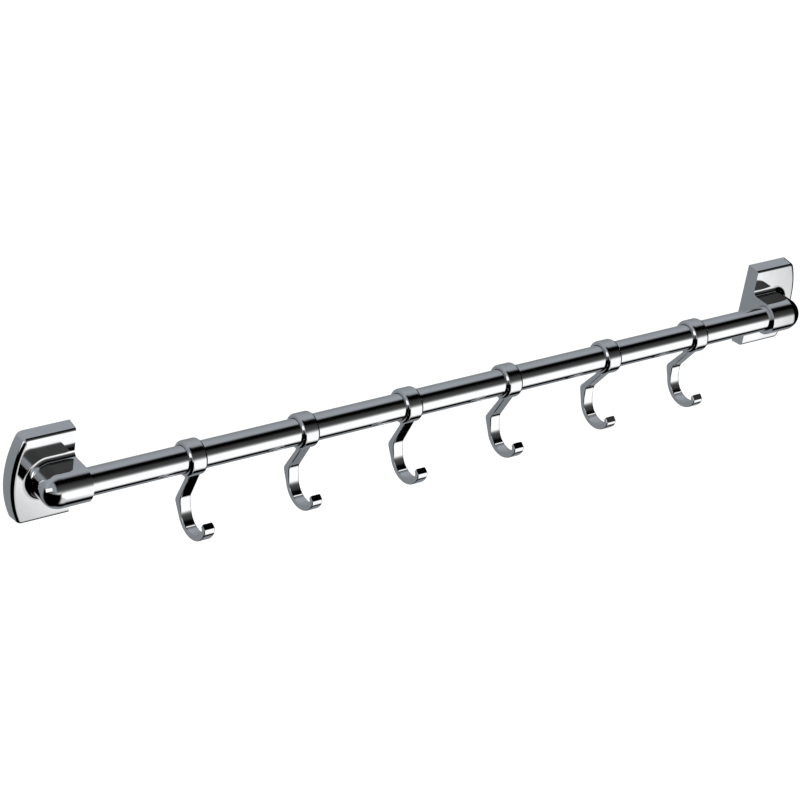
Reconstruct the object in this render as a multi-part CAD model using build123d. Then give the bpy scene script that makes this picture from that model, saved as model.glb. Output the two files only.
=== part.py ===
import os
from math import cos, radians, sin, tan

from build123d import *

os.makedirs("parts", exist_ok=True)

# Towel hook rack, sizes in millimetres. X runs along the rail, +Y into the wall, +Z up.
# The wall is the plane y = 0, and the rail's axis is at z = 0.

# Rail: one round tube between two wall brackets.
rail_d = 16.0
rail_wall = 1.0
rail_out = 21.7  # rail axis to wall

# Bracket: a plate on the wall, and a flared post that turns into a socket for the rail.
bracket_gap = 499.5  # between the two plates' inner sides
plate_h = 56.0
plate_w = 32.0  # along the top and bottom edges
plate_bow = 6.5  # how far the outer side swells past its corners
plate_t = 9.0
plate_draft = 4.0  # degrees
plate_corner_r = 4.0
plate_edge_r = 2.4
post_in = 17.5  # post axis from the plate's inner side
socket_d = 21.0
socket_depth = 15.5
socket_chamfer = 0.5
flare_r = 3.5
socket_play = 0.1  # rail in socket, on the radius
rail_end_gap = 1.5  # rail end to the bottom of its socket

# The plate is hollow behind and drops over a bevelled steel wall plate.
pocket_wall = 2.5
pocket_floor = 2.5
wall_plate_w = 25.0
wall_plate_room = 3.5  # pocket's wall to wall plate, above and below
wall_plate_t = 5.0
wall_plate_bevel = 2.0
wall_plate_corner_r = 1.5
screw_pitch = 26.0
screw_hole_d = 4.5
screw_head_d = 9.0
rib_w = 16.0  # rib that hangs behind the wall plate's top bevel
rib_play = 0.05

# Set screw from below, which draws the bracket to the wall on the lower bevel.
set_screw_d = 4.0
set_screw_play = 0.05
set_screw_sunk = 0.4
set_screw_from_wall = 3.2
set_screw_tip_r = 0.6
set_screw_key = 2.0
set_screw_key_depth = 2.2
boss_w = 9.0
boss_h = 2.0

# Hook: one casting, a collar round the rail with a flat strip bent to an open bowl.
collar_d = 21.0
collar_w = 11.2
collar_edge_r = 2.0
collar_play = 0.3  # lips of the collar over the rail, on the radius
strip_w = 7.1
strip_t = 3.3  # round the bowl and the tip
strip_edge_r = 0.6
strip_sunk = 0.3  # strip's root below the collar's surface
root_blend_r = 2.0
limb_out = 8.6  # limb's front face before the rail's axis
limb_lean = 27.5  # degrees, limb leans back to the wall going down
limb_length = 23.4  # front face, from the point nearest the rail's axis to the bend
limb_t = 2.6  # where the limb passes the rail's axis
limb_swell = 2.5  # degrees, limb thickens towards the bend
bend_r = 7.1  # front face
heel_r = 3.6  # back of the bend
drop_lean = 11.0  # degrees, front face below the bend comes forward going down
drop_length = 4.6
heel_lean = 27.9  # degrees, back face below the bend
bowl_r = 11.6  # inside the bowl
tip_from = 150.0  # degrees round from straight down, where the bowl's arc tightens to the tip
tip_r = 2.0  # inside the tip
tip_curl = 58.0  # degrees, tip leans back past upright
tip_edge_r = 0.8

# Liner: a split nylon sleeve snapped into a groove in the collar; it slides on the rail.
liner_wall = 0.9
liner_length = 6.4
liner_slit = 1.5
liner_play = 0.1  # on the rail and in the groove, on the radius
liner_end_play = 0.15

# Where the hooks stand on the rail, and how each one hangs: degrees, lower end to the wall.
hook_x = [-182.6, -107.2, -33.9, 40.3, 118.0, 189.3]
hook_tilt = [-8.0, -1.8, -5.2, -1.5, 7.4, 6.8]

# Derived places on the bracket.
inner_x = bracket_gap / 2
outer_x = inner_x + plate_w
post_x = inner_x + post_in
draft_in = plate_t * tan(radians(plate_draft))
mouth_x = inner_x + draft_in  # socket's mouth, level with the plate's front edge
pocket_depth = plate_t - pocket_floor
wall_plate_h = plate_h - 2 * (pocket_wall + wall_plate_room)
wall_plate_back = wall_plate_h / 2 - wall_plate_bevel
bevel_slope = wall_plate_bevel / wall_plate_t
rail_r = rail_d / 2
liner_r = rail_r + liner_play + liner_wall
socket_r = socket_d / 2
rail_length = 2 * (mouth_x + socket_depth - rail_end_gap)


def plate_outline(shrink):
    # Straight inner side, top and bottom, and an outer side that bows outwards.
    left = inner_x + shrink
    right = outer_x - shrink
    half = plate_h / 2 - shrink
    with BuildSketch(Plane.XZ) as outline:
        with BuildLine():
            Polyline((right, half), (left, half), (left, -half), (right, -half))
            ThreePointArc((right, -half), (right + plate_bow, 0), (right, half))
        make_face()
        corners = outline.vertices().group_by(Axis.X)[-1]
        fillet(corners, max(plate_corner_r - shrink, plate_edge_r / 2))
    return outline.sketch


def bracket():
    # Plane.XZ looks along -Y, so a positive extrusion comes out from the wall.
    plate = extrude(plate_outline(0), plate_t, taper=plate_draft)
    front = plate.faces().sort_by(Axis.Y)[0]
    rounded = front.edges().sort_by(Axis.X)[1:]  # all but the inner side's
    plate = fillet(rounded, plate_edge_r)

    # Post and socket share one section: a bulb for the socket on a flared foot.
    root = plate_t / 2
    foot = socket_r + flare_r
    neck = plate_t + flare_r
    with BuildSketch(Plane.YZ) as half_section:
        with BuildLine():
            Polyline((-rail_out - socket_r, 0), (-root, 0), (-root, foot), (-plate_t, foot))
            RadiusArc((-plate_t, foot), (-neck, socket_r), flare_r)
            Line((-neck, socket_r), (-rail_out, socket_r))
            RadiusArc((-rail_out, socket_r), (-rail_out - socket_r, 0), -socket_r)
        make_face()
    half = half_section.sketch
    section = half + mirror(half, about=Plane.XY)
    straight = extrude(Pos(mouth_x, 0, 0) * section, post_x - mouth_x)
    turn_axis = Axis((post_x, 0, 0), (0, 1, 0))
    round_end = revolve(Pos(post_x, 0, 0) * half, turn_axis, 180)
    body = plate + straight + round_end

    along = Plane((mouth_x, -rail_out, 0), x_dir=(0, 1, 0), z_dir=(1, 0, 0))
    bore_r = rail_r + socket_play
    bore = extrude(along * Circle(bore_r), socket_depth)
    lead_in = extrude(along * Circle(bore_r + socket_chamfer), socket_chamfer, taper=45)
    pocket = extrude(plate_outline(pocket_wall), pocket_depth)
    body = body - bore - lead_in - (pocket - wall_plate_rib() - set_screw_boss())
    hole_r = set_screw_d / 2 + set_screw_play
    below = Plane((post_x, -set_screw_from_wall, -plate_h / 2), z_dir=(0, 0, 1))
    return body - extrude(below * Circle(hole_r), pocket_wall + boss_h)


def wall_plate_rib():
    # Wedge along the pocket's top: it lies behind the wall plate's top bevel.
    low = wall_plate_back + rib_play
    high = plate_h / 2 - pocket_wall
    with BuildSketch(Plane.YZ) as wedge:
        with BuildLine():
            Polyline(
                (0, low),
                (-wall_plate_t, low + wall_plate_bevel),
                (-wall_plate_t, high),
                (0, high),
                close=True,
            )
        make_face()
    return extrude(Pos(post_x, 0, 0) * wedge.sketch, rib_w / 2, both=True)


def set_screw_boss():
    # Thicker wall at the pocket's bottom, for the screw's thread.
    bottom = Plane((post_x, -pocket_depth / 2, -plate_h / 2 + pocket_wall), z_dir=(0, 0, 1))
    return extrude(bottom * Rectangle(boss_w, pocket_depth), boss_h)


def wall_plate():
    # Dovetail: full height in front, lower by the bevel at the wall.
    back_h = wall_plate_h - 2 * wall_plate_bevel
    with BuildSketch(Plane.YZ) as side:
        with BuildLine():
            Polyline(
                (0, back_h / 2),
                (-wall_plate_t, wall_plate_h / 2),
                (-wall_plate_t, -wall_plate_h / 2),
                (0, -back_h / 2),
                close=True,
            )
        make_face()
    plate = extrude(Pos(post_x, 0, 0) * side.sketch, wall_plate_w / 2, both=True)
    ends = plate.faces().sort_by(Axis.X)
    long_edges = (ends[0].edges() + ends[-1].edges()).filter_by(Axis.Z, reverse=True)
    plate = fillet(long_edges.filter_by(lambda e: abs(e.center().Z) > back_h / 4), wall_plate_corner_r)
    for z in (-screw_pitch / 2, screw_pitch / 2):
        front = Plane((post_x, -wall_plate_t, z), z_dir=(0, -1, 0))
        plate -= front * CounterSinkHole(screw_hole_d / 2, screw_head_d / 2, wall_plate_t)
    return plate


def set_screw():
    # Cone point up against the lower bevel, hexagon key socket below.
    touch = set_screw_from_wall + set_screw_tip_r
    tip_z = -(wall_plate_back + bevel_slope * touch) - rib_play
    foot_z = -plate_h / 2 + set_screw_from_wall * tan(radians(plate_draft)) + set_screw_sunk
    radius = set_screw_d / 2
    cone = radius - set_screw_tip_r
    with BuildSketch(Plane.XZ) as half:
        with BuildLine():
            Polyline(
                (0, foot_z),
                (radius, foot_z),
                (radius, tip_z - cone),
                (set_screw_tip_r, tip_z),
                (0, tip_z),
                close=True,
            )
        make_face()
    screw = revolve(half.sketch, Axis.Z)
    key = RegularPolygon(set_screw_key / 2, 6, major_radius=False)
    screw -= extrude(Pos(0, 0, foot_z) * key, set_screw_key_depth)
    return Pos(post_x, -set_screw_from_wall, 0) * screw


def rail():
    # Tube along X, centred between the brackets.
    ring = Plane.YZ * (Circle(rail_r) - Circle(rail_r - rail_wall))
    return Pos(0, -rail_out, 0) * extrude(ring, rail_length / 2, both=True)


def strip_profile():
    # Side view of the strip: front face from limb to tip, then the outside back up to the limb.
    front = Vector(-cos(radians(limb_lean)), -sin(radians(limb_lean))) * limb_out
    back_lean = limb_lean + limb_swell
    back = Vector(-cos(radians(back_lean)), -sin(radians(back_lean))) * (limb_out - limb_t)
    back_way = Vector(sin(radians(back_lean)), -cos(radians(back_lean)))
    heel_way = Vector(-sin(radians(heel_lean)), -cos(radians(heel_lean)))
    tip_turn = 180 + tip_curl - tip_from
    with BuildSketch() as side:
        with BuildLine():
            limb = PolarLine(front, limb_length, limb_lean - 90)
            bend = JernArc(limb @ 1, limb % 1, bend_r, -(limb_lean + drop_lean))
            drop = PolarLine(bend @ 1, drop_length, direction=bend % 1)
            bowl = JernArc(drop @ 1, drop % 1, bowl_r, -(tip_from - drop_lean))
            tip = JernArc(bowl @ 1, bowl % 1, tip_r, -tip_turn)
            centre = (drop @ 1) + Vector((drop % 1).Y, -(drop % 1).X) * bowl_r
            heel_end = centre + Vector(-heel_way.Y, heel_way.X) * (bowl_r + strip_t)
            reach = (heel_end - back).cross(heel_way).Z / back_way.cross(heel_way).Z
            corner = back + back_way * reach
            outside = JernArc(heel_end, heel_way, bowl_r + strip_t, -(tip_from - heel_lean))
            outer_tip = JernArc(outside @ 1, outside % 1, tip_r + strip_t, -tip_turn)
            Line(tip @ 1, outer_tip @ 1)
            Polyline(heel_end, corner, back, limb @ 0)
        make_face()
        fillet(side.vertices().sort_by_distance(corner)[0], heel_r)
        fillet([side.vertices().sort_by_distance(end)[0] for end in (tip @ 1, outer_tip @ 1)], tip_edge_r)
    return side.sketch


def hook():
    # Modelled with the rail's axis through the origin, strip hanging down.
    root_r = collar_d / 2 - strip_sunk
    profile = strip_profile() + Circle(root_r)
    joins = profile.vertices().filter_by(lambda v: abs(Vector(v.X, v.Y).length - root_r) < strip_sunk / 10)
    profile = fillet(joins, root_blend_r)
    arm = extrude(Plane.YZ * profile, strip_w / 2, both=True)
    arm = fillet(arm.faces().filter_by(Axis.X).edges(), strip_edge_r)

    collar = extrude(Plane.YZ * Circle(collar_d / 2), collar_w / 2, both=True)
    collar = fillet(collar.edges(), collar_edge_r)
    lips = extrude(Plane.YZ * Circle(rail_r + collar_play), collar_w, both=True)
    groove_half = liner_length / 2 + liner_end_play
    groove = extrude(Plane.YZ * Circle(liner_r + liner_play), groove_half, both=True)
    return arm + collar - lips - groove


def liner():
    # Split sleeve, slit uppermost.
    bore_r = rail_r + liner_play
    ring = Circle(liner_r) - Circle(bore_r)
    ring -= Pos(0, bore_r + liner_wall / 2) * Rectangle(liner_slit, 2 * liner_wall)
    return extrude(Plane.YZ * ring, liner_length / 2, both=True)


def hook_place(x, tilt):
    return Pos(x, -rail_out, 0) * Rot(tilt, 0, 0)


right = bracket()
right_plate = wall_plate()
right_screw = set_screw()
pieces = {
    "rail": rail(),
    "right_bracket": right,
    "left_bracket": mirror(right, about=Plane.YZ),
    "right_wall_plate": right_plate,
    "left_wall_plate": mirror(right_plate, about=Plane.YZ),
    "set_screws": Compound(children=[right_screw, mirror(right_screw, about=Plane.YZ)]),
}
one_hook = hook()
one_liner = liner()
for number, (x, tilt) in enumerate(zip(hook_x, hook_tilt), start=1):
    pieces[f"hook_{number}"] = hook_place(x, tilt) * one_hook
    pieces[f"liner_{number}"] = hook_place(x, tilt) * one_liner

for name, piece in pieces.items():
    export_step(piece, f"parts/{name}.step")
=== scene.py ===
from math import cos, pi, radians, sin, sqrt, tan

import bmesh
import bpy
import numpy as np

from mathutils import Matrix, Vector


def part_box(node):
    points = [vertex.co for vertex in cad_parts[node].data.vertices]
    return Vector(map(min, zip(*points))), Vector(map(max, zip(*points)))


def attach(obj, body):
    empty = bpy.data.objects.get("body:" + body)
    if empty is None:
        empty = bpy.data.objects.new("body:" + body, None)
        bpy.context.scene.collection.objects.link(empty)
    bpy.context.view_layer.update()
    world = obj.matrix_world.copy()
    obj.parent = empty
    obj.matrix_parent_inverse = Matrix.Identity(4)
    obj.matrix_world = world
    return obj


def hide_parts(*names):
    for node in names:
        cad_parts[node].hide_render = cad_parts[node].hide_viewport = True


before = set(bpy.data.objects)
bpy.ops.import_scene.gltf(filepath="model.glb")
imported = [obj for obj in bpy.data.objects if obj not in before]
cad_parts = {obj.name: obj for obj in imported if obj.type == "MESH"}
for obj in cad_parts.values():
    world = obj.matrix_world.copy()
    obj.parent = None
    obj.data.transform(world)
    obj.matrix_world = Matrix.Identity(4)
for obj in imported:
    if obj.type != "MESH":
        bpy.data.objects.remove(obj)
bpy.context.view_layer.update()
scene = bpy.context.scene
mm = 0.001
weldGap = 2e-6  # metres
tiny = 1e-9  # keeps divisions and tests clear of rounding
digits = 6  # kept when equal grid lines are merged
print("frame:", len(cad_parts), "CAD nodes")


# grids and meshes

def gridFaces(rows, cols, wrapRows, wrapCols):
    # quads of a grid numbered row by row; a wrapped side joins its last line to its first
    r, c = np.meshgrid(np.arange(rows if wrapRows else rows - 1),
                       np.arange(cols if wrapCols else cols - 1), indexing="ij")
    nextR, nextC = (r + 1) % rows, (c + 1) % cols
    quads = [r * cols + c, r * cols + nextC, nextR * cols + nextC, nextR * cols + c]
    return np.stack(quads, -1).reshape(-1, 4)


def stops(count=3, tight=0.03):
    # shares along a straight run, with one close to each end so that shading stays flat between
    return np.concatenate([[0, tight], np.linspace(0, 1, count + 1)[1:-1], [1 - tight, 1]])


def shares(count):
    # even shares of a run without its start, which the run before it already has
    return np.linspace(0, 1, count)[1:]


def quarterTurn(count):
    # even angles from 0 to a right angle
    return np.linspace(0, pi / 2, count)


def shellMesh(name, patches, sharpAngle):
    # patches are (points in mm as rows x cols x 3, wrapRows, wrapCols); shared borders are welded
    points, faces, first = [], [], 0
    for grid, wrapRows, wrapCols in patches:
        rows, cols = grid.shape[:2]
        points.append(grid.reshape(-1, 3) * mm)
        faces.append(gridFaces(rows, cols, wrapRows, wrapCols) + first)
        first += rows * cols
    mesh = bpy.data.meshes.new(name)
    mesh.from_pydata(np.concatenate(points).tolist(), [], np.concatenate(faces).tolist())
    work = bmesh.new()
    work.from_mesh(mesh)
    bmesh.ops.remove_doubles(work, verts=work.verts, dist=weldGap)
    bmesh.ops.dissolve_degenerate(work, edges=work.edges, dist=weldGap / 10)
    bmesh.ops.recalc_face_normals(work, faces=work.faces)
    work.to_mesh(mesh)
    work.free()
    mesh.shade_smooth()
    mesh.set_sharp_from_angle(angle=radians(sharpAngle))
    return mesh


def carve(mesh, parts, sharpAngle):
    # joins or cuts closed shells one after another and gives back a plain mesh
    base = bpy.data.objects.new("carveBase", mesh)
    scene.collection.objects.link(base)
    tools = []
    for operation, grid in parts:
        shell = shellMesh("carveTool", [(grid, False, True)], sharpAngle)
        tool = bpy.data.objects.new("carveTool", shell)
        scene.collection.objects.link(tool)
        cut = base.modifiers.new(operation, "BOOLEAN")
        cut.operation, cut.solver, cut.object = operation, "EXACT", tool
        tools.append(tool)
    graph = bpy.context.evaluated_depsgraph_get()
    carved = bpy.data.meshes.new_from_object(base.evaluated_get(graph))
    carved.name = mesh.name
    for item in [base, *tools]:
        bpy.data.meshes.remove(item.data)  # takes its object with it
    carved.shade_smooth()
    carved.set_sharp_from_angle(angle=radians(sharpAngle))
    return carved


def addPiece(name, mesh, material, body, node):
    # object at the origin that moves with a body and stands for a CAD node
    piece = bpy.data.objects.new(name, mesh)
    scene.collection.objects.link(piece)
    mesh.materials.append(material)
    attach(piece, body)
    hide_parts(node)


# shader nodes: most helpers add one node and give back its output

def link(tree, source, target):
    tree.links.new(source, target)


def setOrLink(tree, value, target):
    # a plain number or colour is set, anything else is a socket to link
    if isinstance(value, (int, float)):
        target.default_value = value
    elif isinstance(value, tuple):
        target.default_value = (*value, 1)
    else:
        link(tree, value, target)


def mathNode(tree, operation, first, second=None, third=None):
    node = tree.nodes.new("ShaderNodeMath")
    node.operation = operation
    for place, value in enumerate((first, second, third)):
        if value is not None:
            setOrLink(tree, value, node.inputs[place])
    return node.outputs[0]


def noiseNode(tree, vector, scale, detail, roughness=0.5):
    node = tree.nodes.new("ShaderNodeTexNoise")
    node.inputs["Scale"].default_value = scale
    node.inputs["Detail"].default_value = detail
    node.inputs["Roughness"].default_value = roughness
    link(tree, vector, node.inputs["Vector"])
    return node.outputs["Fac"]


def rangeNode(tree, value, low, high, toLow, toHigh):
    # value from low to high becomes toLow to toHigh, and stops there
    node = tree.nodes.new("ShaderNodeMapRange")
    link(tree, value, node.inputs["Value"])
    for name, number in (("From Min", low), ("From Max", high), ("To Min", toLow), ("To Max", toHigh)):
        setOrLink(tree, number, node.inputs[name])
    return node.outputs["Result"]


def colourMix(tree, factor, first, second):
    node = tree.nodes.new("ShaderNodeMix")
    node.data_type = "RGBA"
    link(tree, factor, node.inputs["Factor"])
    setOrLink(tree, first, node.inputs["A"])
    setOrLink(tree, second, node.inputs["B"])
    return node.outputs["Result"]


def shaderMix(tree, factor, first, second):
    node = tree.nodes.new("ShaderNodeMixShader")
    for place, source in enumerate((factor, first, second)):
        link(tree, source, node.inputs[place])
    return node.outputs[0]


def bumpNode(tree, height, strength, depth):
    node = tree.nodes.new("ShaderNodeBump")
    node.inputs["Strength"].default_value = strength
    node.inputs["Distance"].default_value = depth
    link(tree, height, node.inputs["Height"])
    return node.outputs["Normal"]


def newMaterial(name):
    # a material, its node tree and the place on the piece that its patterns read
    material = bpy.data.materials.new(name)
    material.use_nodes = True
    tree = material.node_tree
    place = tree.nodes.new("ShaderNodeTexCoord")
    return material, tree, place.outputs["Object"]


def groupSockets(group, inputs, outputs):
    # names and kinds of a group's sockets; gives back its two end nodes
    for way, sockets in (("INPUT", inputs), ("OUTPUT", outputs)):
        for name, kind in sockets:
            group.interface.new_socket(name, in_out=way, socket_type=f"NodeSocket{kind}")
    return group.nodes.new("NodeGroupInput"), group.nodes.new("NodeGroupOutput")


# materials

wipe = {
    "cloudScale": 45, "cloudDetail": 4, "cloudRough": 0.55, "cloudEdge": (0.42, 0.72),
    "rubStretch": (30, 900, 900), "rubDetail": 3, "rubRough": 0.6, "rubEdge": (0.3, 0.75),
    "rubLeast": 0.3, "rubHeight": 0.04, "swellScale": 140, "swellDetail": 1}


def makeWipeMarks():
    # cloth smudges and fine rubbing lines left on polished plating: where they lie, gloss drops a little
    group = bpy.data.node_groups.new("wipeMarks", "ShaderNodeTree")
    entry, leave = groupSockets(
        group,
        [("Vector", "Vector"), ("Gloss", "Float"), ("Dull", "Float"), ("Light", "Color"), ("Dark", "Color")],
        [("Color", "Color"), ("Roughness", "Float"), ("Height", "Float")])
    given, place = entry.outputs, entry.outputs["Vector"]
    cloud = noiseNode(group, place, wipe["cloudScale"], wipe["cloudDetail"], wipe["cloudRough"])
    smear = rangeNode(group, cloud, *wipe["cloudEdge"], 0, 1)
    stretch = group.nodes.new("ShaderNodeMapping")
    stretch.inputs["Scale"].default_value = wipe["rubStretch"]
    link(group, place, stretch.inputs["Vector"])
    rub = noiseNode(group, stretch.outputs["Vector"], 1, wipe["rubDetail"], wipe["rubRough"])
    lines = rangeNode(group, rub, *wipe["rubEdge"], wipe["rubLeast"], 1)
    worn = mathNode(group, "MULTIPLY", smear, lines)
    swell = noiseNode(group, place, wipe["swellScale"], wipe["swellDetail"])
    link(group, colourMix(group, smear, given["Light"], given["Dark"]), leave.inputs["Color"])
    link(group, rangeNode(group, worn, 0, 1, given["Gloss"], given["Dull"]), leave.inputs["Roughness"])
    link(group, mathNode(group, "MULTIPLY_ADD", rub, wipe["rubHeight"], swell), leave.inputs["Height"])
    return group


wipeMarks = makeWipeMarks()


def platedMetal(name, look):
    # plated metal: tone, gloss and a slight swell of the surface, all from the wipe marks
    material, tree, place = newMaterial(name)
    shader = tree.nodes["Principled BSDF"]
    marks = tree.nodes.new("ShaderNodeGroup")
    marks.node_tree = wipeMarks
    link(tree, place, marks.inputs["Vector"])
    for key in ("gloss", "dull", "light", "dark"):
        setOrLink(tree, look[key], marks.inputs[key.capitalize()])
    normal = bumpNode(tree, marks.outputs["Height"], look["swell"], look["swellDepth"])
    link(tree, normal, shader.inputs["Normal"])
    link(tree, marks.outputs["Color"], shader.inputs["Base Color"])
    link(tree, marks.outputs["Roughness"], shader.inputs["Roughness"])
    shader.inputs["Metallic"].default_value = 1
    return material


tubeChrome = platedMetal("tubeChrome", {
    "gloss": 0.03, "dull": 0.07, "light": (0.90, 0.905, 0.915), "dark": (0.86, 0.865, 0.875),
    "swell": 0.02, "swellDepth": 0.0002})
castChrome = platedMetal("castChrome", {
    "gloss": 0.035, "dull": 0.08, "light": (0.89, 0.895, 0.905), "dark": (0.85, 0.855, 0.865),
    "swell": 0.03, "swellDepth": 0.0002})
zincSteel = platedMetal("zincSteel", {
    "gloss": 0.28, "dull": 0.45, "light": (0.66, 0.67, 0.69), "dark": (0.52, 0.53, 0.55),
    "swell": 0.25, "swellDepth": 0.0002})
screwSteel = platedMetal("screwSteel", {
    "gloss": 0.22, "dull": 0.38, "light": (0.56, 0.56, 0.58), "dark": (0.42, 0.42, 0.44),
    "swell": 0.2, "swellDepth": 0.0001})

nylon = {
    "black": (0.012, 0.012, 0.013), "worn": (0.04, 0.04, 0.042), "matt": 0.62, "smooth": 0.45,
    "rubScale": 220, "rubDetail": 2, "rubEdge": (0.3, 0.7),
    "grainScale": 2500, "grainDetail": 3, "grainStrength": 0.3, "grainDepth": 0.0001}


def makeNylon():
    # matt black sleeve: a fine pebbled grain, a little lighter where the bar rubs it
    material, tree, place = newMaterial("sleeveNylon")
    shader = tree.nodes["Principled BSDF"]
    grain = noiseNode(tree, place, nylon["grainScale"], nylon["grainDetail"])
    rubbed = noiseNode(tree, place, nylon["rubScale"], nylon["rubDetail"])
    gloss = rangeNode(tree, rubbed, *nylon["rubEdge"], nylon["matt"], nylon["smooth"])
    link(tree, colourMix(tree, rubbed, nylon["black"], nylon["worn"]), shader.inputs["Base Color"])
    link(tree, gloss, shader.inputs["Roughness"])
    link(tree, bumpNode(tree, grain, nylon["grainStrength"], nylon["grainDepth"]), shader.inputs["Normal"])
    return material


sleeveNylon = makeNylon()
print("materials: plated metals and nylon")


# rail

rail = {"radius": 8.0, "wall": 1.0, "out": 21.7, "around": 192, "along": 24, "sharp": 30}


def ringSurface(xs, radii, around):
    # each profile point (x, radius) is carried round a full circle about the rail's axis
    turn = np.linspace(0, 2 * pi, around, endpoint=False)
    x = np.repeat(xs[:, None], around, 1)
    y = -rail["out"] + radii[:, None] * np.cos(turn)
    z = radii[:, None] * np.sin(turn)
    return np.stack([x, y, z], -1)


def buildRail():
    # tube: outer wall, end ring, inner wall and end ring as one closed profile
    low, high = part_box("rail")
    along = np.linspace(low.x / mm, high.x / mm, rail["along"])
    inner = rail["radius"] - rail["wall"]
    xs = np.concatenate([along, along[::-1]])
    radii = np.concatenate([np.full(len(along), rail["radius"]), np.full(len(along), inner)])
    tube = ringSurface(xs, radii, rail["around"])
    mesh = shellMesh("railTube", [(tube, True, True)], rail["sharp"])
    addPiece("railTube", mesh, tubeChrome, "frame", "rail")


buildRail()
print("rail: polished tube")


# brackets

bracket = {
    "inner": 249.75, "plateW": 32.0, "plateH": 56.0, "bow": 6.5, "plateT": 9.0, "draft": 4.0,
    "corner": 4.0, "leastCorner": 0.4, "edge": 2.4, "postIn": 17.5, "socketR": 10.5, "flare": 3.5,
    "bore": 8.1, "boreDepth": 15.5, "chamfer": 0.5, "sharp": 32,
    # behind the plate: pocket, rib, boss and screw hole
    "pocketWall": 2.5, "pocketDepth": 6.5, "ribHalf": 8.0, "ribLow": 20.05, "ribRise": 2.0, "ribOut": 5.0,
    "bossHalf": 4.5, "bossTop": -23.5, "screwHole": 2.05, "screwOut": 3.2, "screwOver": 1.0,
    "sunk": 0.3, "backGap": 0.05,
    # how finely each curve is drawn
    "points": {"bow": 161, "corner": 33, "bulb": 41, "bore": 61, "toe": 33, "edge": 9, "turn": 121,
               "cornerTurn": 25, "mouth": 7, "hole": 48},
    "socketSteps": 5, "cornerSpread": 0.09, "leastStep": 1e-4}


def plateOutline(shrink):
    # closed outline (x, z) about the post: straight sides, one bowed side, rounded outer corners
    b, count = bracket, bracket["points"]
    half, right = b["plateH"] / 2, b["plateW"] - b["postIn"]
    bowR = (half * half + b["bow"] ** 2) / (2 * b["bow"])
    bowX = right + b["bow"] - bowR
    cornerR = max(b["corner"] - shrink, b["leastCorner"])
    top, arcR = half - shrink, bowR - shrink
    # corner circle touches the top line and the bow from inside
    cz = top - cornerR
    cx = bowX + sqrt((arcR - cornerR) ** 2 - cz * cz)
    lift = np.arctan2(cz, cx - bowX)
    bow = np.linspace(-lift, lift, count["bow"])
    turn = np.linspace(lift, pi / 2, count["corner"])
    upper = np.stack([cx + cornerR * np.cos(turn), cz + cornerR * np.sin(turn)], -1)
    lower = upper[::-1] * (1, -1)
    side = np.stack([bowX + arcR * np.cos(bow), arcR * np.sin(bow)], -1)
    left = -b["postIn"] + shrink
    corners = np.array([[left, top], [left, -top]])
    return np.concatenate([lower, side, upper, corners])


def outlineReach(shrink, headings):
    # distance from the post to the outline along each heading (angle from +Z towards +X)
    loop = plateOutline(shrink)
    angle = np.arctan2(loop[:, 0], loop[:, 1])
    angle = np.where(angle < 0, angle + 2 * pi, angle)
    keep = (loop[:, 0] > 0) & (angle <= pi)
    order = np.argsort(angle[keep])
    start, end = loop[keep][order], np.roll(loop[keep][order], -1, 0)
    edgeAngle = angle[keep][order]
    place = np.clip(np.searchsorted(edgeAngle, headings, side="right") - 1, -1, len(start) - 2)
    half = bracket["plateH"] / 2 - shrink
    ray = np.stack([np.sin(headings), np.cos(headings)], -1)
    along = end[place] - start[place]
    cross = ray[:, 0] * along[:, 1] - ray[:, 1] * along[:, 0]
    reach = (start[place][:, 0] * along[:, 1] - start[place][:, 1] * along[:, 0]) / cross
    flat = half / np.maximum(np.abs(ray[:, 1]), tiny)  # top and bottom lines
    onFlat = (headings < edgeAngle[0]) | (headings > edgeAngle[-1])
    return np.where(onFlat, flat, reach)


def postProfile():
    # half section of post and socket as (y, half width): bulb, straight neck, flared foot
    b, count = bracket, bracket["points"]
    out, r = rail["out"], b["socketR"]
    mouthR = b["bore"] + b["chamfer"]
    bulb = -out - r * np.cos(quarterTurn(count["bulb"]))
    bore = -out - mouthR * np.cos(np.linspace(0, pi, count["bore"]))
    neckEnd = -b["plateT"] - b["flare"]
    neck = -out + (neckEnd + out) * stops()
    toe = neckEnd + b["flare"] * np.sin(quarterTurn(count["toe"]))
    ys = np.sort(np.concatenate([bulb, bore, neck, toe]))
    ys = ys[np.concatenate([[True], np.diff(ys) > b["leastStep"]])]
    bulbW = np.sqrt(np.maximum(r * r - np.minimum(ys + out, 0) ** 2, 0))
    rise = np.clip(ys - neckEnd, 0, b["flare"])
    flareW = b["flare"] - np.sqrt(np.maximum(b["flare"] ** 2 - rise ** 2, 0))
    return ys, bulbW + flareW


def plateRows():
    # rows from the foot of the flare over the face, round the front edge and down the drafted side:
    # each is (share of the face, inset from the outline, y)
    b = bracket
    slope, t, e = radians(b["draft"]), b["plateT"], b["edge"]
    centreIn = (t - e) * tan(slope) + e / cos(slope)
    face = [(share, centreIn, -t) for share in stops()[1:]]
    turn = np.linspace(0, pi / 2 - slope, b["points"]["edge"])[1:]
    edge = [(1.0, centreIn - e * sin(a), -t + e - e * cos(a)) for a in turn]
    sideTop = edge[-1][2]
    side = [(1.0, -y * tan(slope), y) for y in sideTop * (1 - stops()[1:])]
    return np.array(face + edge + side)


def prismSurface(loop, start, end, upright):
    # a loop drawn straight from start to end, upright or along the rail, closed to its middle at both ends
    middle = np.repeat(loop.mean(0)[None], len(loop), 0)
    rows = [(middle, start), (loop, start), (loop, end), (middle, end)]
    grid = np.stack([np.concatenate([flat, np.full((len(loop), 1), level)], -1) for flat, level in rows])
    return grid if upright else grid[..., [2, 0, 1]]


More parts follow.
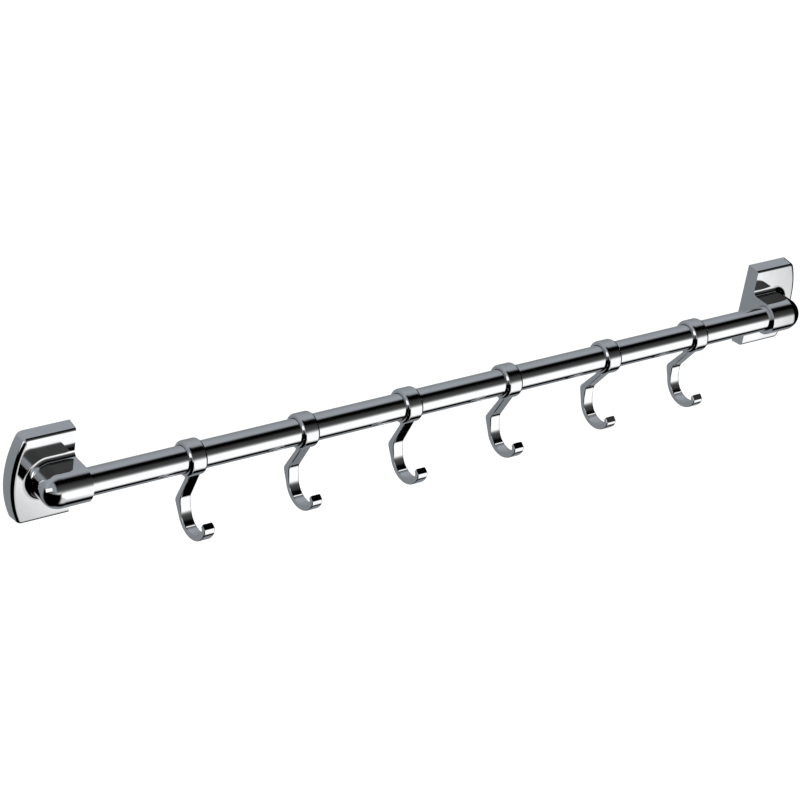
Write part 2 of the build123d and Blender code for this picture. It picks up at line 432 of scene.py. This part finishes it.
def pocketParts(postX):
    # rib that hangs on the wall plate, boss for the set screw, and the screw's hole from below
    b = bracket
    gap, half, over = -b["backGap"], b["plateH"] / 2, b["screwOver"]
    ribTop = half - b["pocketWall"] + b["sunk"]
    rib = np.array([[gap, b["ribLow"]], [-b["ribOut"], b["ribLow"] + b["ribRise"]],
                    [-b["ribOut"], ribTop], [gap, ribTop]])
    floor = -b["pocketDepth"] - b["sunk"]
    boss = np.array([[gap, -ribTop], [floor, -ribTop], [floor, b["bossTop"]], [gap, b["bossTop"]]])
    turn = np.linspace(0, 2 * pi, b["points"]["hole"], endpoint=False)
    hole = np.stack([postX + b["screwHole"] * np.cos(turn),
                     -b["screwOut"] + b["screwHole"] * np.sin(turn)], -1)
    return [("UNION", prismSurface(rib, postX - b["ribHalf"], postX + b["ribHalf"], False)),
            ("UNION", prismSurface(boss, postX - b["bossHalf"], postX + b["bossHalf"], False)),
            ("DIFFERENCE", prismSurface(hole, -half - over, b["bossTop"] + over, True))]


def buildBracket(name, node, mirrored):
    # post profile carried along a U: straight from the socket's mouth to the post, half a turn
    # about the post, and straight back; the plate's rows go on outwards from it
    b, count = bracket, bracket["points"]
    postX = b["inner"] + b["postIn"]
    slope = tan(radians(b["draft"]))
    mouthX = b["inner"] + b["plateT"] * slope
    cornerTurn = np.arctan2(b["plateW"] - b["postIn"], b["plateH"] / 2)
    spread = np.linspace(-b["cornerSpread"], b["cornerSpread"], count["cornerTurn"])
    turn = np.concatenate([np.linspace(0, pi, count["turn"]), cornerTurn + spread, pi - cornerTurn + spread])
    turn = np.unique(np.round(turn, digits))
    share = stops(b["socketSteps"])  # from the mouth to the post
    headings = np.concatenate([np.zeros(len(share) - 1), turn, np.full(len(share) - 1, pi)])
    reachBack = np.concatenate([1 - share[:-1], np.zeros(len(turn)), 1 - share[::-1][1:]])
    postY, postW = postProfile()
    rows = plateRows()
    outline = np.stack([outlineReach(s, headings) for s in rows[:, 1]])
    straight = reachBack > 0
    outline[:, straight] = (b["plateH"] / 2 - rows[:, 1])[:, None]
    foot = b["socketR"] + b["flare"]
    radius = np.concatenate([np.repeat(postW[:, None], len(headings), 1),
                             foot + rows[:, :1] * (outline - foot)])
    y = np.concatenate([postY, rows[:, 2]])
    endX = mouthX - np.maximum(b["plateT"] + y, 0) * slope
    x = postX + reachBack * (endX[:, None] - postX) + radius * np.sin(headings)
    z = radius * np.cos(headings)
    front = np.stack([x, np.repeat(y[:, None], len(headings), 1), z], -1)

    # mouth: rows of constant depth from the bore's rim out to the post's outline, on both halves
    mouthR = b["bore"] + b["chamfer"]
    rim = np.sqrt(np.maximum(mouthR ** 2 - (postY + rail["out"]) ** 2, 0))
    across = np.linspace(0, 1, count["mouth"])
    mouthZ = rim[:, None] + (postW - rim)[:, None] * across
    mouth = np.stack([np.full(mouthZ.shape, mouthX), np.repeat(postY[:, None], len(across), 1), mouthZ], -1)

    # inner side of the plate: each row of the edge and side drawn straight across
    faceRows = rows[:, 2] <= -b["plateT"] + tiny
    endZ = radius[len(postY):, 0]
    lastFace = np.flatnonzero(faceRows)[-1]
    firstZ = np.concatenate([mouthZ[-1], endZ[:lastFace + 1]])
    firstZ = np.unique(np.round(np.concatenate([-firstZ, firstZ]), digits))
    sideY = rows[lastFace:, 2]
    sideZ = endZ[lastFace:, None] / endZ[lastFace] * firstZ
    sideX = mouthX - (b["plateT"] + sideY) * slope
    side = np.stack([np.repeat(sideX[:, None], len(firstZ), 1),
                     np.repeat(sideY[:, None], len(firstZ), 1), sideZ], -1)

    # bore: lead-in, wall and flat bottom, on the same rim points as the mouth
    inBore = np.abs(postY + rail["out"]) <= mouthR + tiny
    lean = np.arccos(np.clip(-(postY[inBore] + rail["out"]) / mouthR, -1, 1))
    loop = np.concatenate([lean, 2 * pi - lean[::-1][1:-1]])
    boreX = mouthX + np.array([0, b["chamfer"], b["boreDepth"], b["boreDepth"]])
    boreR = np.array([mouthR, b["bore"], b["bore"], 0])
    bore = np.stack([np.repeat(boreX[:, None], len(loop), 1),
                     -rail["out"] - boreR[:, None] * np.cos(loop),
                     boreR[:, None] * np.sin(loop)], -1)

    # back: rim on the wall, pocket's wall and floor, on a closed loop of outline points
    backZ = side[-1][:, 2]
    outer = np.concatenate([front[-1][:, [0, 2]],
                            np.stack([np.full(len(backZ) - 2, b["inner"]), backZ[1:-1]], -1)])
    wall = b["pocketWall"]
    inset = outlineReach(wall, turn)
    first = len(share) - 1
    inner = outer.copy()
    inner[first:first + len(turn)] = np.stack(
        [postX + inset * np.sin(turn), inset * np.cos(turn)], -1)
    inner[:, 0] = np.maximum(inner[:, 0], b["inner"] + wall)
    inner[:, 1] = np.clip(inner[:, 1], wall - b["plateH"] / 2, b["plateH"] / 2 - wall)
    middle = np.array([postX, 0.0])
    halfway, centre = middle + (inner - middle) / 2, np.repeat(middle[None], len(inner), 0)
    depth = -b["pocketDepth"]
    rings = [(outer, 0), (inner, 0), (inner, depth), (halfway, depth), (centre, depth)]
    back = np.stack([np.stack([ring[:, 0], np.full(len(ring), level), ring[:, 1]], -1)
                     for ring, level in rings])

    flip = np.array([-1, 1, 1]) if mirrored else np.array([1, 1, 1])
    patches = [(front, False, False), (mouth, False, False), (mouth * (1, 1, -1), False, False),
               (side, False, False), (bore, False, True), (back, False, True)]
    patches = [(grid * flip, wrapRows, wrapCols) for grid, wrapRows, wrapCols in patches]
    parts = [(operation, grid * flip) for operation, grid in pocketParts(postX)]
    mesh = carve(shellMesh(name, patches, b["sharp"]), parts, b["sharp"])
    addPiece(name, mesh, castChrome, "frame", node)


buildBracket("leftBracketCasting", "left_bracket", True)
buildBracket("rightBracketCasting", "right_bracket", False)
print("brackets: two castings")


# hooks

hook = {
    "x": [-182.6, -107.2, -33.9, 40.3, 118.0, 189.3], "tilt": [-8.0, -1.8, -5.2, -1.5, 7.4, 6.8],
    "collarR": 10.5, "collarW": 11.2, "collarEdge": 2.0, "lipR": 8.3, "grooveR": 9.1, "grooveW": 6.7,
    "stripW": 7.1, "stripT": 3.3, "stripEdge": 0.6, "sunk": 0.3, "rootBlend": 2.0,
    "limbOut": 8.6, "limbLean": 27.5, "limbLength": 23.4, "limbT": 2.6, "limbSwell": 2.5,
    "bendR": 7.1, "heelR": 3.6, "dropLean": 11.0, "dropLength": 4.6, "heelLean": 27.9,
    "bowlR": 11.6, "tipFrom": 150.0, "tipR": 2.0, "tipCurl": 58.0, "tipEdge": 0.8,
    "tipFlat": 142.0, "tipGround": 1.0, "sharp": 32,
    # how finely each curve is drawn
    "points": {"around": 128, "collarEdge": 17, "root": 9, "bend": 33, "bowl": 81, "tip": 33, "tipEdge": 9,
               "stripEdge": 7},
    "limbSteps": 4, "sideSteps": 2, "sideTight": 0.06}


def collarSurface():
    # closed profile (x, radius): outside, rounded edge, lip, groove for the sleeve, and the same mirrored
    h, count = hook, hook["points"]
    half, e, r = h["collarW"] / 2, h["collarEdge"], h["collarR"]
    turn = quarterTurn(count["collarEdge"])
    outX = (half - e) * (2 * stops() - 1)
    edgeX, edgeR = half - e + e * np.sin(turn), r - e + e * np.cos(turn)
    quarterX = np.concatenate([edgeX[1:], [half, h["grooveW"] / 2, h["grooveW"] / 2]])
    quarterR = np.concatenate([edgeR[1:], [h["lipR"], h["lipR"], h["grooveR"]]])
    xs = np.concatenate([outX, quarterX, -quarterX[::-1]])
    radii = np.concatenate([np.full(len(outX), r), quarterR, quarterR[::-1]])
    return ringSurface(xs, radii, count["around"])


def ahead(lean):
    # unit step along the strip; lean in degrees from straight down, forward positive
    angle = np.radians(lean)
    return np.stack([-np.sin(angle), -np.cos(angle)], -1)


def hollow(lean):
    # unit step out of the strip's hollow side, square to ahead
    angle = np.radians(lean)
    return np.stack([-np.cos(angle), np.sin(angle)], -1)


def arcRun(centre, radius, leans):
    # points of an arc that turns towards the hollow side, one for each lean
    return centre - radius * hollow(leans)


def rootRun(out, lean, side):
    # fillet from the collar's root circle to a limb line that passes the axis at a distance out
    h = hook
    rootR, blend = h["collarR"] - h["sunk"], h["rootBlend"]
    away = out + side * blend
    touch = sqrt((rootR + blend) ** 2 - away ** 2)
    last = pi if side > 0 else 0.0
    first = np.arctan2(-touch, -away) + (2 * pi if side > 0 else 0.0)
    turn = np.linspace(first, last, h["points"]["root"])
    across = away + blend * np.cos(turn)
    along = touch + blend * np.sin(turn)
    return across[:, None] * hollow(lean) + along[:, None] * ahead(lean), touch


def stripLines():
    # front and outer side of the strip from root to tip, as matching points (y, z) about the rail's axis,
    # and how far each row's ends draw in
    h, count = hook, hook["points"]
    front, back, heel = -h["limbLean"], -h["limbLean"] - h["limbSwell"], h["heelLean"]
    frontRoot, frontTouch = rootRun(h["limbOut"], front, 1)
    backRoot, backTouch = rootRun(h["limbOut"] - h["limbT"], back, -1)
    frontFoot = h["limbOut"] * hollow(front)
    backFoot = (h["limbOut"] - h["limbT"]) * hollow(back)
    bendStart = frontFoot + h["limbLength"] * ahead(front)
    bendCentre = bendStart + h["bendR"] * hollow(front)
    dropStart = arcRun(bendCentre, h["bendR"], h["dropLean"])
    dropEnd = dropStart + h["dropLength"] * ahead(h["dropLean"])
    bowlCentre = dropEnd + h["bowlR"] * hollow(h["dropLean"])
    outR = h["bowlR"] + h["stripT"]
    heelEnd = arcRun(bowlCentre, outR, heel)
    gap, way, heelWay = heelEnd - backFoot, ahead(back), ahead(heel)
    corner = (gap[0] * heelWay[1] - gap[1] * heelWay[0]) / (way[0] * heelWay[1] - way[1] * heelWay[0])
    trim = h["heelR"] * tan(radians(heel - back) / 2)
    heelStart = backFoot + (corner - trim) * way
    heelCentre = heelStart + h["heelR"] * hollow(back)
    heelDone = arcRun(heelCentre, h["heelR"], heel)
    tipCentre = bowlCentre - (h["bowlR"] - h["tipR"]) * hollow(h["tipFrom"])

    share = stops(h["limbSteps"])[1:, None]
    limbFront = frontFoot + ahead(front) * (frontTouch + share * (h["limbLength"] - frontTouch))
    limbBack = backFoot + way * (backTouch + share * (corner - trim - backTouch))
    turn = shares(count["bend"])
    bendFront = arcRun(bendCentre, h["bendR"], front + turn * (h["dropLean"] - front))
    bendBack = arcRun(heelCentre, h["heelR"], back + turn * (heel - back))
    dropFront = dropStart + share * (dropEnd - dropStart)
    dropBack = heelDone + share * (heelEnd - heelDone)
    turn = shares(count["bowl"])
    bowlFront = arcRun(bowlCentre, h["bowlR"], h["dropLean"] + turn * (h["tipFrom"] - h["dropLean"]))
    bowlBack = arcRun(bowlCentre, outR, heel + turn * (h["tipFrom"] - heel))

    # tip: arcs about one centre, then both sides draw in over a small round to the flat end
    end, e, tipOut = 180 + h["tipCurl"], h["tipEdge"], h["tipR"] + h["stripT"]  # 180 is straight up
    curl, turn = shares(count["tip"]), quarterTurn(count["tipEdge"])[1:]
    inset = np.concatenate([np.zeros(len(curl)), e * (1 - np.cos(turn))])
    lag = np.concatenate([np.full(len(curl), e), e * (1 - np.sin(turn))])
    run = np.concatenate([curl, np.ones(len(turn))])
    leanFront = h["tipFrom"] + run * (end - np.degrees(lag / h["tipR"]) - h["tipFrom"])
    leanBack = h["tipFrom"] + run * (end - np.degrees(lag / tipOut) - h["tipFrom"])
    tipFront = tipCentre - (h["tipR"] + inset)[:, None] * hollow(leanFront)
    tipBack = tipCentre - (tipOut - inset)[:, None] * hollow(leanBack)
    up = ahead(h["tipFlat"])  # small flat ground on top
    over = np.maximum((tipBack - tipCentre) @ up - (tipOut - h["tipGround"]), 0)
    tipBack = tipBack - over[:, None] * up

    fronts = np.concatenate([frontRoot, limbFront, bendFront, dropFront, bowlFront, tipFront])
    backs = np.concatenate([backRoot, limbBack, bendBack, dropBack, bowlBack, tipBack])
    return fronts, backs, np.concatenate([np.zeros(len(fronts) - len(inset)), inset])


def armSurface():
    # rounded rectangle between the two lines, row by row; root and tip are closed to a point
    h = hook
    fronts, backs, inset = stripLines()
    half = np.linalg.norm(fronts - backs, axis=1)[:, None] / 2
    e, halfW = h["stripEdge"], h["stripW"] / 2
    turn = quarterTurn(h["points"]["stripEdge"])
    cornerX, cornerDrop = halfW - e + e * np.cos(turn), e * (1 - np.sin(turn))
    flatX = (halfW - e) * (1 - 2 * stops()[1:-1])
    sideShare = 1 - 2 * stops(h["sideSteps"], h["sideTight"])[1:-1]
    topX = np.concatenate([cornerX, flatX, -cornerX[::-1]])
    topDrop = np.concatenate([cornerDrop, np.zeros(len(flatX)), cornerDrop[::-1]])
    ones = np.ones(len(topX))
    loopX = np.concatenate([topX, np.full(len(sideShare), -halfW), -topX, np.full(len(sideShare), halfW)])
    level = np.concatenate([ones, sideShare, -ones, -sideShare])
    drop = np.concatenate([-topDrop, -e * sideShare, topDrop, e * sideShare])
    q = level + drop / half
    middle, reach = (fronts + backs) / 2, (fronts - backs) / 2
    yz = middle[:, None] + q[..., None] * reach[:, None]
    x = loopX * (1 - inset / halfW)[:, None]
    rows = np.concatenate([x[..., None], yz], -1)
    caps = [np.zeros_like(rows[0]) + np.array([0, *middle[0]]),
            (rows[-1] + np.array([0, *middle[-1]])) / 2,
            np.zeros_like(rows[-1]) + np.array([0, *middle[-1]])]
    return np.concatenate([caps[:1], rows, caps[1:]])


def buildHooks():
    # one collar joined with one arm, turned about the rail by each hook's tilt and set at its place along it
    collar = shellMesh("hookBody", [(collarSurface(), True, True)], hook["sharp"])
    arm = armSurface()
    arm[..., 1] -= rail["out"]
    body = carve(collar, [("UNION", arm)], hook["sharp"])
    axis = Matrix.Translation((0, -rail["out"] * mm, 0))
    for number, (x, tilt) in enumerate(zip(hook["x"], hook["tilt"]), start=1):
        name, node = f"hookCasting{number}", f"hook_{number}"
        mesh = body.copy()
        mesh.name = name
        turn = axis @ Matrix.Rotation(radians(tilt), 4, "X") @ axis.inverted()
        mesh.transform(Matrix.Translation((x * mm, 0, 0)) @ turn)
        addPiece(name, mesh, castChrome, node, node)
    bpy.data.meshes.remove(body)


buildHooks()
print("hooks: six castings")


# carried-over CAD nodes

def dress(node, material):
    # the node keeps its mesh and takes one material
    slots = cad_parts[node].data.materials
    slots.clear()
    slots.append(material)


for side in ("left", "right"):
    dress(f"{side}_wall_plate", zincSteel)
dress("set_screws", screwSteel)
for number in range(1, len(hook["x"]) + 1):
    dress(f"liner_{number}", sleeveNylon)
print("CAD nodes: wall plates, set screws and sleeves dressed")


# floor, light and camera

floorSheet = {
    "drop": 0.6, "size": 8.0, "points": 9, "tone": (0.86, 0.86, 0.86), "cloudTone": (0.8428, 0.8428, 0.8428),
    "cloudScale": 3, "cloudDetail": 2, "glow": 0.3}


def directRays(tree, path):
    # 1 for what the camera sees straight or through glass, 0 for the rest of the light path
    return mathNode(tree, "MAXIMUM", path["Is Camera Ray"], path["Is Transmission Ray"])


def buildFloor():
    # pale level sheet far below the rack: lit to white for the camera, clear from below, and it keeps
    # the shadow; polished metal sees the studio in its place
    half, count = floorSheet["size"] / 2, floorSheet["points"]
    u, v = np.meshgrid(np.linspace(-half, half, count), np.linspace(-half, half, count), indexing="ij")
    points = np.stack([u, v, np.full(u.shape, -floorSheet["drop"])], -1).reshape(-1, 3)
    faces = gridFaces(count, count, False, False)[:, ::-1]  # faces up
    mesh = bpy.data.meshes.new("floorSheet")
    mesh.from_pydata(points.tolist(), [], faces.tolist())
    floor = bpy.data.objects.new("floorSheet", mesh)
    scene.collection.objects.link(floor)
    material, tree, place = newMaterial("paleFloor")
    tree.nodes.remove(tree.nodes["Principled BSDF"])
    cloud = noiseNode(tree, place, floorSheet["cloudScale"], floorSheet["cloudDetail"])
    diffuse = tree.nodes.new("ShaderNodeBsdfDiffuse")
    link(tree, colourMix(tree, cloud, floorSheet["tone"], floorSheet["cloudTone"]), diffuse.inputs["Color"])
    direct = directRays(tree, tree.nodes.new("ShaderNodeLightPath").outputs)
    glow = tree.nodes.new("ShaderNodeEmission")
    link(tree, mathNode(tree, "MULTIPLY", direct, floorSheet["glow"]), glow.inputs["Strength"])
    both = tree.nodes.new("ShaderNodeAddShader")
    link(tree, diffuse.outputs[0], both.inputs[0])
    link(tree, glow.outputs[0], both.inputs[1])
    clear = tree.nodes.new("ShaderNodeBsdfTransparent")
    under = tree.nodes.new("ShaderNodeNewGeometry")
    shown = shaderMix(tree, under.outputs["Backfacing"], both.outputs[0], clear.outputs[0])
    link(tree, shown, tree.nodes["Material Output"].inputs["Surface"])
    mesh.materials.append(material)
    floor.visible_glossy = False


# what polished metal sees, by where a ray points: x along the rail, y to the back, z up;
# each pair is a soft edge from its first value to its second
studio = {
    "fill": 0.8, "cool": (0.925, 1.0, 1.075), "coolFrom": 85,  # tint of the grey walls, and its first angle
    # dark where a ray is left of, in front of and below the first three edges, or right of the last
    "darkLeft": (-0.15, 0.05), "darkBack": (0.30, 0.48), "darkTop": (0.0, 0.2), "darkRight": (0.72, 0.80),
    # the front panel is dimmer outside a window in it, whose left side is upright low down, then slants out
    "dimTo": 0.60, "dimFront": (-0.45, -0.30), "dimLeft": (0.450, 0.462), "dimRight": (0.660, 0.675),
    "dimLow": (0.430, 0.462), "lowLift": 0.546, "lowSlope": 1.5,
    "wallLevel": 0.30, "wallLeft": (-0.55, -0.40), "wallFoot": (0.1, 0.3),  # grey wall at the left
    # strip lamp at the left, its long side lifted from level by an angle
    "stripLift": 37.0, "stripLevel": 1.3, "stripLow": (-0.06, 0.02), "stripHigh": (0.20, 0.30),
    "stripBack": (-0.14, -0.06), "stripReach": (0.50, 0.64),
    "bands": [  # angle over the rail from the front horizon, and its grey
        (-150, 0.25), (-125, 0.25), (-100, 0.26), (-90, 0.24), (-86, 0.08), (-83, 0.0), (-64, 0.0),
        (-59, 0.3), (-52, 0.9), (-45, 1.12), (2, 1.12), (9, 0.75), (16, 0.28), (24, 0.10), (33, 0.06),
        (50, 0.035), (58, 0.012), (66, 0.0), (84, 0.0), (90, 0.06), (97, 0.28), (108, 0.37), (140, 0.34),
        (165, 0.28), (209, 0.25)]}


def bandColours(tree, y, z):
    # grey by the angle over the rail, as shares of a full turn from the first band
    bands = studio["bands"]
    start = bands[0][0]
    angle = mathNode(tree, "ARCTAN2", z, mathNode(tree, "MULTIPLY", y, -1.0))
    share = mathNode(tree, "FRACT", mathNode(tree, "MULTIPLY_ADD", angle, 1 / (2 * pi), -start / 360))
    ramp = tree.nodes.new("ShaderNodeValToRGB")
    link(tree, share, ramp.inputs[0])
    elements = ramp.color_ramp.elements
    while len(elements) < len(bands):
        elements.new(0.5)
    for element, (degree, grey) in zip(elements, bands):
        element.position = (degree - start) / 360
        tint = studio["cool"] if abs(degree) > studio["coolFrom"] else (1, 1, 1)
        element.color = (*(grey * t for t in tint), 1)
    return ramp.outputs["Color"]


def bandLevel(tree, x, y, z):
    # share of the bands that the dark flags and the dimmer front panel let through
    def edge(value, name, toLow, toHigh):
        return rangeNode(tree, value, *studio[name], toLow, toHigh)

    dimTo = studio["dimTo"]
    lit = mathNode(tree, "MAXIMUM", edge(x, "darkLeft", 0, 1), edge(y, "darkBack", 0, 1))
    lit = mathNode(tree, "MAXIMUM", lit, edge(z, "darkTop", 0, 1))
    lit = mathNode(tree, "MULTIPLY", lit, edge(x, "darkRight", 1, 0))
    raised = mathNode(tree, "ADD", z, studio["lowLift"])
    aslant = mathNode(tree, "MULTIPLY_ADD", raised, studio["lowSlope"], x)
    dim = mathNode(tree, "MAXIMUM", edge(x, "dimLeft", dimTo, 1), edge(aslant, "dimLow", dimTo, 1))
    dim = mathNode(tree, "MULTIPLY", dim, edge(x, "dimRight", 1, dimTo))
    dim = mathNode(tree, "MAXIMUM", dim, edge(y, "dimFront", 0, 1))
    return mathNode(tree, "MULTIPLY", lit, dim)


def stripLight(tree, x, y, z):
    # strip lamp: four soft edges across and along the line of lift, left of the middle only
    lift = radians(studio["stripLift"])
    along = mathNode(tree, "MULTIPLY_ADD", y, -cos(lift), mathNode(tree, "MULTIPLY", z, sin(lift)))
    across = mathNode(tree, "MULTIPLY_ADD", y, sin(lift), mathNode(tree, "MULTIPLY", z, cos(lift)))
    strip = mathNode(tree, "LESS_THAN", x, 0.0)
    for value, edge, toLow, toHigh in (
            (across, "stripLow", 0, 1), (across, "stripHigh", 1, 0), (along, "stripBack", 0, 1),
            (along, "stripReach", studio["stripLevel"], 0)):
        strip = mathNode(tree, "MULTIPLY", strip, rangeNode(tree, value, *studio[edge], toLow, toHigh))
    return strip


def background(tree, colour, strength=1.0):
    node = tree.nodes.new("ShaderNodeBackground")
    setOrLink(tree, colour, node.inputs["Color"])
    node.inputs["Strength"].default_value = strength
    return node.outputs[0]


def buildWorld():
    # white to the camera; a studio of panels and flags round the rail to polished metal; even fill elsewhere
    world = bpy.data.worlds.new("studioRoom")
    scene.world = world
    world.use_nodes = True
    tree = world.node_tree
    tree.nodes.clear()
    place = tree.nodes.new("ShaderNodeTexCoord")
    split = tree.nodes.new("ShaderNodeSeparateXYZ")
    link(tree, place.outputs["Generated"], split.inputs[0])
    x, y, z = (split.outputs[axis] for axis in "XYZ")
    wallTone, flagged, room, glare = (tree.nodes.new("ShaderNodeVectorMath") for _ in range(4))
    # the grey wall in its tint
    wallTone.operation = "SCALE"
    wallTone.inputs[0].default_value = studio["cool"]
    wall = mathNode(tree, "MULTIPLY", rangeNode(tree, x, *studio["wallLeft"], studio["wallLevel"], 0),
                    rangeNode(tree, z, *studio["wallFoot"], 0, 1))
    link(tree, wall, wallTone.inputs["Scale"])
    # the bands past the flags
    flagged.operation = "SCALE"
    link(tree, bandColours(tree, y, z), flagged.inputs[0])
    link(tree, bandLevel(tree, x, y, z), flagged.inputs["Scale"])
    # the brighter of the two, and the strip lamp on top
    room.operation = "MAXIMUM"
    link(tree, flagged.outputs[0], room.inputs[0])
    link(tree, wallTone.outputs[0], room.inputs[1])
    glare.operation = "ADD"
    link(tree, room.outputs[0], glare.inputs[0])
    link(tree, stripLight(tree, x, y, z), glare.inputs[1])
    path = tree.nodes.new("ShaderNodeLightPath").outputs
    panels, white = background(tree, glare.outputs[0]), background(tree, (1, 1, 1))
    even = background(tree, (1, 1, 1), studio["fill"])
    around = shaderMix(tree, path["Is Glossy Ray"], even, panels)
    leave = tree.nodes.new("ShaderNodeOutputWorld")
    link(tree, shaderMix(tree, directRays(tree, path), around, white), leave.inputs["Surface"])


softLamp = {"size": (1.6, 1.2), "energy": 18, "place": (-0.5, -1.0, 1.6)}


def buildLamp():
    # broad soft lamp above and in front, aimed at the rack's middle, for the shadow
    data = bpy.data.lights.new("softLamp", "AREA")
    data.shape = "RECTANGLE"
    data.size, data.size_y = softLamp["size"]
    data.energy = softLamp["energy"]
    lamp = bpy.data.objects.new("softLamp", data)
    lamp.location = softLamp["place"]
    aim = -lamp.location.normalized()
    lamp.rotation_euler = aim.to_track_quat("-Z", "Y").to_euler()
    lamp.visible_glossy = False
    scene.collection.objects.link(lamp)


view = {"azimuth": -40.1, "elevation": 30.03, "roll": 9.3, "aside": 18.63, "above": 14.2,
        "distance": 1657.03, "focalPixels": 2775.36, "imagePixels": 800, "sensor": 36}


def buildCamera():
    # turned round the rack by azimuth and elevation, rolled, and shifted in its own plane, in mm
    a, e, r = (radians(view[key]) for key in ("azimuth", "elevation", "roll"))
    back = np.array([sin(a) * cos(e), -cos(a) * cos(e), sin(e)])
    right = np.array([cos(a), sin(a), 0])
    up = np.cross(back, right)
    axes = np.stack([right * cos(r) + up * sin(r), up * cos(r) - right * sin(r), back])
    place = np.array([-view["aside"], -view["above"], view["distance"]]) @ axes * mm
    data = bpy.data.cameras.new("photoCamera")
    data.sensor_width = view["sensor"]
    data.lens = data.sensor_width * view["focalPixels"] / view["imagePixels"]
    camera = bpy.data.objects.new("photoCamera", data)
    pose = np.eye(4)
    pose[:3, :3], pose[:3, 3] = axes.T, place
    camera.matrix_world = Matrix(pose.tolist())
    scene.collection.objects.link(camera)
    scene.camera = camera


buildFloor()
buildWorld()
buildLamp()
buildCamera()
scene.view_settings.view_transform = "Standard"
print("studio: floor, panels, lamp and camera")
